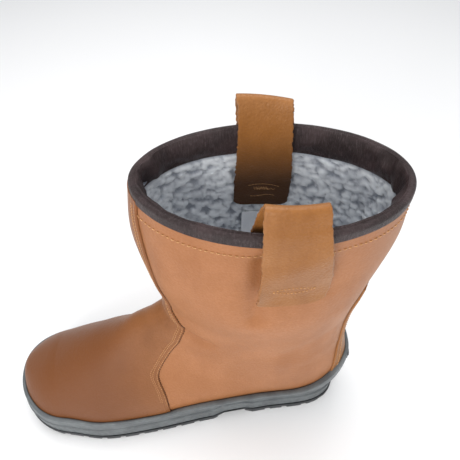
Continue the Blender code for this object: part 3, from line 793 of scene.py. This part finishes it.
# Loop stitching. Golden thread: a pointed eye through the outer end of each loop, and on its inner end
# an arc, two wavy lines through the middle and a slack row below them.
EYE_MIDDLE, EYE_HALF_LONG, EYE_HALF_HIGH = 0.092, 0.60, 0.017  # in s, v and s
EYE_STITCH, INNER_STITCH = (1.6, 2.3, 0.27), (2.0, 2.3, 0.24)  # length, pitch and radius
v = np.linspace(-EYE_HALF_LONG, EYE_HALF_LONG, 40)
bow = EYE_HALF_HIGH * (1 - (v / EYE_HALF_LONG) ** 2)
outer_lines = [(EYE_MIDDLE + bow, v), (EYE_MIDDLE - bow, v)]
v = np.linspace(-0.62, 0.6, 60)
inner_lines = [
    (0.905 - 0.012 * (1 - (v / 0.62) ** 2), v),
    (0.915 + 0.008 * np.sin(v * 31), v * 0.45 + 0.05),
    (0.918 + 0.004 * np.sin(v * 23 + 1), v * 0.6 - 0.1),
    (0.952 + 0.004 * np.sin(v * 5), v * 0.8),
]
loop_lines = [
    stitch_row(*strap_point(loop, *line, STRAP / 2), *stitch)
    for loop in LOOPS
    for lines, stitch in ((outer_lines, EYE_STITCH), (inner_lines, INNER_STITCH))
    for line in lines
]
joined("loop_stitches", golden_thread, "strap_leather", loop_lines)


# Midsole. A cup of dark green-grey foamed rubber moulded on to the lasted upper, high round the heel
# and a little raised at the toe. A ribbed band runs round its foot, and a soft lip meets the leather.
# x, ground, joint of outsole and midsole, rim of the cup
SOLE_SIDE = np.array((
    (-30, 0, 8, 80), (6, 0, 8, 80), (13, 0, 8, 77), (20, 0, 8, 69), (27, 0, 8, 59),
    (36, 0, 8, 48), (52, 0, 8, 40.5), (84, 0, 8, 38), (93, 9, 14, 37), (113, 9, 14, 35.5),
    (123, 0, 7, 35), (175, 0, 7, 33), (230, 0, 7, 34), (250, 0.6, 7.6, 35.5),
    (270, 2.4, 9.4, 35), (288, 5.2, 12.2, 36), (300, 7, 14, 38), (330, 12, 19, 41),
))
CUP_OFF = 5.0  # the cup's face off the last
LEVELS = np.arange(28.0, 84.0, 2.0)  # heights at which its outline is drawn
HALF_ROUND = 260  # points from the heel to the toe along one side
BAND_HIGH, RIB, RIB_PITCH = 12.5, 0.9, 6.0
POINT_STEP = 1.35  # about how far apart the outline's points lie
smooth_rim = through(SOLE_SIDE[:, (0, 3)], np.linspace(0, len(SOLE_SIDE) - 1, 400))


def side_height(x, column):
    """Height of one line of the sole's side view at x."""
    if column == 3:
        return np.interp(x, smooth_rim[:, 0], smooth_rim[:, 1])
    return np.interp(x, SOLE_SIDE[:, 0], SOLE_SIDE[:, column])


def level_line(z, side):
    """Where the grown last crosses a height, from the back of the heel to the toe along one side.

    On each section the height falls steadily from the front point to the back point, so the crossing is
    looked up there. Sections that don't reach the height are left out, and the line is spaced evenly.
    """
    heel, foot = np.linspace(4.2, 6.2, 260), np.linspace(6.22, TOE_ROW, 120)
    t = np.concatenate([heel, foot, TOE_ROW + np.linspace(0.004, ROUND_TOE, 200)])
    u = side * np.linspace(0.0005, 0.4995, 220)
    tt, uu = np.meshgrid(t, u, indexing="ij")
    grown = last_point(tt, uu) + outward(tt, uu) * CUP_OFF
    heights = grown[..., 2]
    crossing = (heights[:, :-1] >= z) & (heights[:, 1:] < z)
    found = crossing.any(axis=1)
    k = np.argmax(crossing, axis=1)
    row = np.arange(len(t))
    share = (heights[row, k] - z) / np.maximum(heights[row, k] - heights[row, k + 1], 1e-9)
    line = grown[row, k] + share[:, None] * (grown[row, k + 1] - grown[row, k])
    line = line[found][:, :2]
    line = np.vstack([(line[0, 0] - 0.02, 0.0), line, (line[-1, 0] + 0.3, TOE_SWING + LAST[-1][6])])
    run = length_along(line)
    even = np.linspace(0, run[-1], HALF_ROUND)
    return np.stack([np.interp(even, run, line[:, k]) for k in range(2)], -1)


def whole_line(z):
    """The closed outline at a height, each point the mean of itself and four neighbours either way."""
    line = np.vstack([level_line(z, 1), level_line(z, -1)[-2:0:-1]])
    return sum(np.roll(line, k, axis=0) for k in range(-4, 5)) / 9


outlines = np.stack([whole_line(z) for z in LEVELS])
AROUND = outlines.shape[1]


def sole_point(k, z, out):
    """Point of the sole's wall: k along its outline, at a height, and out from the cup's face."""
    k, z, out = np.broadcast_arrays(k, z, out)
    level = np.clip((z - LEVELS[0]) / (LEVELS[1] - LEVELS[0]), 0, len(LEVELS) - 1.001)
    i = np.floor(level).astype(int)
    f = (level - i)[..., None]
    plan = outlines[i, k] * (1 - f) + outlines[i + 1, k] * f
    tangent = unit(outlines[0][(k + 2) % AROUND] - outlines[0][(k - 2) % AROUND])
    plan = plan + np.stack([-tangent[..., 1], tangent[..., 0]], -1) * out[..., None]
    return np.concatenate([plan, z[..., None]], -1)


def sole_ring(rows):
    """Points and faces of a ring round the sole. Its section goes through rows of height and out."""
    grid = np.stack([sole_point(around, z, out)[:, 0] for z, out in rows], 1)
    return grid.reshape(-1, 3), quads(AROUND, len(rows), wrap_rows=True, wrap_columns=True)


around = np.arange(AROUND)[:, None]
base_x = outlines[0][:, 0][:, None]
joint, rim = side_height(base_x, 2) + 0.2, side_height(base_x, 3)
band_top = joint + BAND_HIGH
# the cup's inner face lies on the quarters, and further out where the vamp or the backstay covers them
on_overlay = 1 / (1 + np.exp(-(base_x - 163.0) / 2.0)) + 1 / (1 + np.exp((base_x - 18.0) / 1.5))
seat = CUP_OFF - (0.35 + 1.7 * np.clip(on_overlay, 0, 1))
rib = 0.5 + 0.5 * np.cos(around * POINT_STEP * 2 * math.pi / RIB_PITCH)
rib = 0.45 + 0.55 * np.clip(rib * 2.2, 0, 1) * RIB
side_foot, side_top = band_top + 2.0, rim - 3.4
band_rows = [
    (joint, 0.6), (joint + 0.6, 1.0), (joint + 1.8, 1.0), (joint + 2.4, rib), (joint + 5.5, rib),
    (band_top - 4.6, rib), (band_top - 2.0, rib), (band_top - 1.4, 1.0), (band_top - 0.5, 1.0),
    (band_top, 0.7), (band_top + 0.4, -0.2), (band_top + 1.4, -0.25), (side_foot, 0.0),
]
side_rows = [(side_foot + (side_top - side_foot) * share, 0.0) for share in np.linspace(0.12, 1, 9)]
lip_rows = [
    (rim - 2.6, 0.25), (rim - 1.4, 0.35), (rim - 0.4, 0.1), (rim + 0.1, -0.8), (rim + 0.1, 1.0 - seat),
    (rim - 0.5, 0.15 - seat), (rim - 2.0, -seat), (rim - 8.0, -seat), (joint + 6.0, -0.4 - seat),
    (joint, -0.6 - seat),
]
midsole_foam, wire, place, inputs = new_finish("midsole_foam")
dapple = wire.node("TexNoise", Vector=place, Scale=60.0, Detail=4.0, Roughness=0.6)
skin = wire.node("TexNoise", Vector=place, Scale=1400.0, Detail=2.0, Roughness=0.6)
colour = dapple.between(0.35, 0.7).mix((0.085, 0.095, 0.10), (0.13, 0.145, 0.15))
bump = wire.node("Bump", Strength=0.35, Distance=0.0003, Height=skin)
plug(inputs, Base_Color=colour, Roughness=0.5 + (skin - 0.5) * 0.2, Normal=bump)
cup = sole_ring(band_rows + side_rows + lip_rows)
piece("cup_midsole", *cup, midsole_foam, "midsole_foam", "midsole")


# Outsole. Black rubber tread: a plate with square-edged lugs between straight cross channels, a raised
# arch, and a step round its side. It is moulded to the foot of the cup.
CHANNEL_DEPTH, CHANNEL_WIDTH, LUG_OUT = 4.0, 5.0, 1.7
ARCH, TREAD_ENDS = (92.0, 119.0), (-6.0, 320.0)
CHANNELS = (14.0, 32.0, 52.0, 69.0, 140.0, 158.0, 176.0, 194.0, 212.0, 230.0, 248.0, 266.0)
black_rubber, wire, place, inputs = new_finish("black_rubber")
dust = wire.node("TexNoise", Vector=place, Scale=90.0, Detail=5.0, Roughness=0.7)
skin = wire.node("TexNoise", Vector=place, Scale=1100.0, Detail=2.0, Roughness=0.6)
colour = dust.between(0.4, 0.75).mix((0.026, 0.028, 0.031), (0.05, 0.053, 0.057))
bump = wire.node("Bump", Strength=0.3, Distance=0.0003, Height=skin)
plug(inputs, Base_Color=colour, Roughness=0.6 + (dust - 0.5) * 0.2, Normal=bump)

tread_roof = side_height(base_x, 1) + CHANNEL_DEPTH
plate_side = sole_point(around, tread_roof - 0.2, 1.4)[:, 0]


def across_sole(column, lift):
    """Strips of points from one side to the other at each step along, on a line of the side view."""
    last = HALF_ROUND - 1
    lateral, medial = plate_side[1:last, None], plate_side[AROUND - 1 : AROUND - last : -1, None]
    share = np.linspace(0, 1, 9)[None, :, None]
    strips = lateral * (1 - share) + medial * share
    strips[..., 2] = side_height(strips[..., 0], column) + lift
    return strips


plate = wall(across_sole(1, CHANNEL_DEPTH - 0.2), across_sole(2, -0.2))
piece("outsole_plate", *plate, black_rubber, "outsole_rubber", "outsole")
rand_rows = [
    (tread_roof - 0.2, 1.4), (tread_roof, 2.0), (joint - 1.0, 2.0), (joint - 0.4, 1.6),
    (joint - 0.4, -9.0), (tread_roof - 0.2, -9.0),
]
piece("outsole_rand", *sole_ring(rand_rows), black_rubber, "outsole_rubber")

gaps = sorted([(c - CHANNEL_WIDTH / 2, c + CHANNEL_WIDTH / 2) for c in CHANNELS] + [ARCH])
edges = [TREAD_ENDS[0], *(x for gap in gaps for x in gap), TREAD_ENDS[1]]
outline = sole_point(np.arange(AROUND), 0.0, LUG_OUT)
share = np.linspace(0, 1, 12)[None, :]
lug_parts = []
for first, last in zip(edges[0::2], edges[1::2]):
    x = np.linspace(max(first, outline[:, 0].min() + 0.6), min(last, outline[:, 0].max() - 0.6), 14)
    ends = []
    for line in (outline[:HALF_ROUND], outline[HALF_ROUND - 1 :]):
        order = np.argsort(line[:, 0])
        ends.append(np.interp(x, line[order, 0], line[order, 1])[:, None])
    y = ends[0] * (1 - share) + ends[1] * share
    bottom = np.stack(np.broadcast_arrays(x[:, None], y, side_height(x, 1)[:, None]), -1)
    lug_parts.append(wall(bottom, bottom + (0, 0, CHANNEL_DEPTH)))
lugs = joined("outsole_lugs", black_rubber, "outsole_rubber", lug_parts)
soften = lugs.modifiers.new("worn edges", "BEVEL")
soften.width = 0.6 * MM
soften.segments = 2
soften.limit_method = "ANGLE"
soften.angle_limit = math.radians(50)


# Kick-off clip. A band of harder black rubber up the back of the heel, cemented to the cup, with
# cross ribs that hold when the other boot pushes it down.
CLIP_HALF, CLIP_LOW, CLIP_HIGH, CLIP_THICK = 15.0, 27.0, 66.0, 2.2
CLIP_ROUND, CLIP_RIB_PITCH = 1.2, 4.9
step_mm = length_along(outlines[0])[-1] / (AROUND - 1)
reach = int(CLIP_HALF / step_mm)
k = np.arange(-reach, reach + 1)[:, None]
z = np.linspace(CLIP_LOW, CLIP_HIGH, 90)[None, :]
edge_in = np.minimum(np.minimum(z - CLIP_LOW, CLIP_HIGH - z), CLIP_ROUND) / CLIP_ROUND
side_in = np.clip((reach - np.abs(k)) * step_mm / CLIP_ROUND, 0, 1)
ribs = 0.5 * np.clip(np.cos((z - CLIP_LOW) * 2 * math.pi / CLIP_RIB_PITCH) * 2, -1, 1)
out = 0.3 + (CLIP_THICK - 0.5 + ribs) * np.sqrt(np.clip(edge_in * side_in, 0.02, 1))
clip = wall(sole_point(k % AROUND, z, out), sole_point(k % AROUND, z, 0.25))
piece("kick_off_clip", *clip, black_rubber, "outsole_rubber", "heel_clip")


# Label. A small woven tab of white satin, sewn to the far inside wall below the pull loop and left
# blank. It waves a little as it lies on the fleece.
LABEL_X, LABEL_DEPTH, LABEL_OFF, LABEL_THICK = (58.0, 92.0), (70.0, 104.0), -7.6, 0.4
SHAFT_BACK, SHAFT_LONG = 1.0, 156.0  # x of the shaft's back at that depth, and its length to the front
x = np.linspace(*LABEL_X, 24)[None, :]
depth = np.linspace(*LABEL_DEPTH, 26)[:, None]
t = depth / ROW_STEP
u = 1 - np.arccos(2 * (x - SHAFT_BACK) / SHAFT_LONG - 1) / (2 * math.pi)
wave = 0.6 * np.sin((depth - LABEL_DEPTH[0]) / 9.0) + 0.4 * np.sin(x / 6.0)
face, rear = (
    last_point(t, u) + outward(t, u) * (off + wave)[..., None]
    for off in (LABEL_OFF, LABEL_OFF + LABEL_THICK)
)
white_satin, wire, place, inputs = new_finish("white_satin")
weave = wire.node("TexWave", {"bands_direction": "Z"}, Vector=place, Scale=900.0, Distortion=0.4)
bump = wire.node("Bump", Strength=0.2, Distance=0.0002, Height=weave)
plug(inputs, Base_Color=weave.mix((0.84, 0.86, 0.90), (0.95, 0.97, 1.0)), Roughness=0.6, Normal=bump)
label = piece("blank_label", *wall(rear, face), white_satin, "lining")


# Floor and light. A plain pale studio floor, a large soft key light from the camera's left, a weaker
# fill from the heel side, a soft light overhead and a pale room all round.
floor_mesh = bpy.data.meshes.new("floor")
FLOOR_HALF = 3.0
corners = [(-FLOOR_HALF, -FLOOR_HALF, 0), (FLOOR_HALF, -FLOOR_HALF, 0)]
corners += [(FLOOR_HALF, FLOOR_HALF, 0), (-FLOOR_HALF, FLOOR_HALF, 0)]
floor_mesh.from_pydata(corners, [], [(0, 1, 2, 3)])
pale_floor, wire, place, inputs = new_finish("pale_floor")
mottle = wire.node("TexNoise", Vector=place, Scale=3.0, Detail=2.0)
plug(inputs, Base_Color=mottle.mix((0.90, 0.90, 0.90), (0.92, 0.92, 0.92)), Roughness=0.6)
floor_mesh.materials.append(pale_floor)
floor = bpy.data.objects.new("floor", floor_mesh)
bpy.context.collection.objects.link(floor)


def soft_light(name, place, aim, size, power, colour):
    """A square area light that faces a point."""
    light = bpy.data.lights.new(name, "AREA")
    light.size, light.energy, light.color = size, power, colour
    made = bpy.data.objects.new(name, light)
    made.matrix_world = (Vector(aim) - Vector(place)).to_track_quat("-Z", "Y").to_matrix().to_4x4()
    made.location = place
    bpy.context.collection.objects.link(made)


soft_light("key", (0.55, 1.15, 0.75), (0.05, 0.0, 0.17), 0.9, 14.0, (1.0, 0.985, 0.97))
soft_light("fill", (-0.9, 0.6, 0.8), (0.05, 0.0, 0.17), 1.1, 2.2, (0.97, 0.98, 1.0))
soft_light("top", (0.1, -0.3, 1.3), (0.05, 0.0, 0.2), 1.0, 12.0, (1.0, 1.0, 1.0))
bpy.context.scene.view_settings.view_transform = "Standard"
room = bpy.data.worlds.new("room")
room.use_nodes = True
room.node_tree.nodes["Background"].inputs["Color"].default_value = (0.95, 0.97, 1.0, 1.0)
room.node_tree.nodes["Background"].inputs["Strength"].default_value = 0.5
bpy.context.scene.world = room
